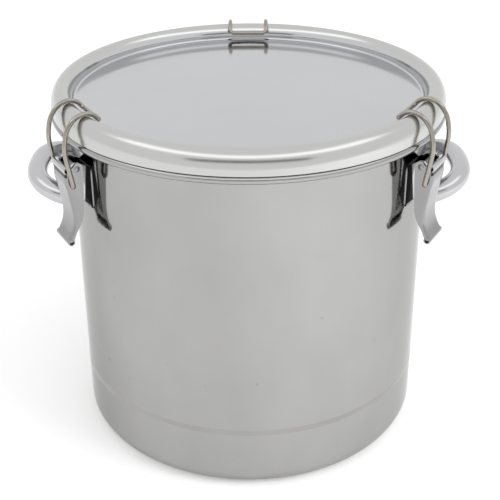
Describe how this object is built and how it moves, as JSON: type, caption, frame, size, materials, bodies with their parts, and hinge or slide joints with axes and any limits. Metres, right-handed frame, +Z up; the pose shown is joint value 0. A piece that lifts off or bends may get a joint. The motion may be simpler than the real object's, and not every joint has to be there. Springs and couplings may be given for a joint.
{
  "type": "sealed milk can",
  "caption": "Wide stainless milk can with a recessed clamp-down lid, over-centre wire clips round the rim and two loop handles.",
  "frame": {"origin": "centre of the flat underside of the base", "axes": "+Z up along the can's axis, +X through the right handle, -Y towards the front, between the two front clips"},
  "size_m": [0.3816, 0.3401, 0.3176],
  "materials": {
    "body_steel": "polished stainless sheet with a fine satin grain",
    "lid_steel": "bright polished stainless sheet",
    "handle_steel": "satin polished stainless tube",
    "clip_steel": "mirror polished stainless pressing",
    "wire_steel": "drawn stainless spring wire, slightly warm",
    "silicone": "matt white silicone rubber"
  },
  "bodies": {
    "can": {"bottom_dish": "body_steel", "barrel": "body_steel", "left_handle": "handle_steel", "right_handle": "handle_steel", "left_bracket": "clip_steel", "left_lever_pin": "wire_steel", "right_bracket": "clip_steel", "right_lever_pin": "wire_steel", "rear_bracket": "clip_steel", "rear_lever_pin": "wire_steel"},
    "lid": {"lid": "lid_steel", "lid_gasket": "silicone"},
    "left_lever": {"left_lever": "clip_steel"},
    "left_bail": {"left_bail": "wire_steel"},
    "right_lever": {"right_lever": "clip_steel"},
    "right_bail": {"right_bail": "wire_steel"},
    "rear_lever": {"rear_lever": "clip_steel"},
    "rear_bail": {"rear_bail": "wire_steel"}
  },
  "joints": [
    {"name": "lid_lift", "type": "slide", "parent": "can", "child": "lid", "axis": [0, 0, 1], "range_m": [0, 0.12]},
    {"name": "left_lever_swing", "type": "hinge", "parent": "can", "child": "left_lever", "pos_m": [-0.14073, -0.08125, 0.2705], "axis": [-0.5, 0.866, 0], "range_deg": [0, 130]},
    {"name": "left_bail_swing", "type": "hinge", "parent": "left_lever", "child": "left_bail", "pos_m": [-0.14489, -0.08365, 0.2568], "axis": [-0.5, 0.866, 0], "range_deg": [-175, 0], "deforming": ["left_bail"]},
    {"name": "right_lever_swing", "type": "hinge", "parent": "can", "child": "right_lever", "pos_m": [0.14073, -0.08125, 0.2705], "axis": [-0.5, -0.866, 0], "range_deg": [0, 130]},
    {"name": "right_bail_swing", "type": "hinge", "parent": "right_lever", "child": "right_bail", "pos_m": [0.14489, -0.08365, 0.2568], "axis": [-0.5, -0.866, 0], "range_deg": [-175, 0], "deforming": ["right_bail"]},
    {"name": "rear_lever_swing", "type": "hinge", "parent": "can", "child": "rear_lever", "pos_m": [0, 0.1625, 0.2705], "axis": [1, 0, 0], "range_deg": [0, 130]},
    {"name": "rear_bail_swing", "type": "hinge", "parent": "rear_lever", "child": "rear_bail", "pos_m": [0, 0.1673, 0.2568], "axis": [1, 0, 0], "range_deg": [-175, 0], "deforming": ["rear_bail"]}
  ],
  "couplings": [
    {"joint": "left_lever_swing", "follows": "lid_lift", "rad_per_m": 18.908},
    {"joint": "left_bail_swing", "follows": "lid_lift", "rad_per_m": -25.453},
    {"joint": "right_lever_swing", "follows": "lid_lift", "rad_per_m": 18.908},
    {"joint": "right_bail_swing", "follows": "lid_lift", "rad_per_m": -25.453},
    {"joint": "rear_lever_swing", "follows": "lid_lift", "rad_per_m": 18.908},
    {"joint": "rear_bail_swing", "follows": "lid_lift", "rad_per_m": -25.453}
  ]
}
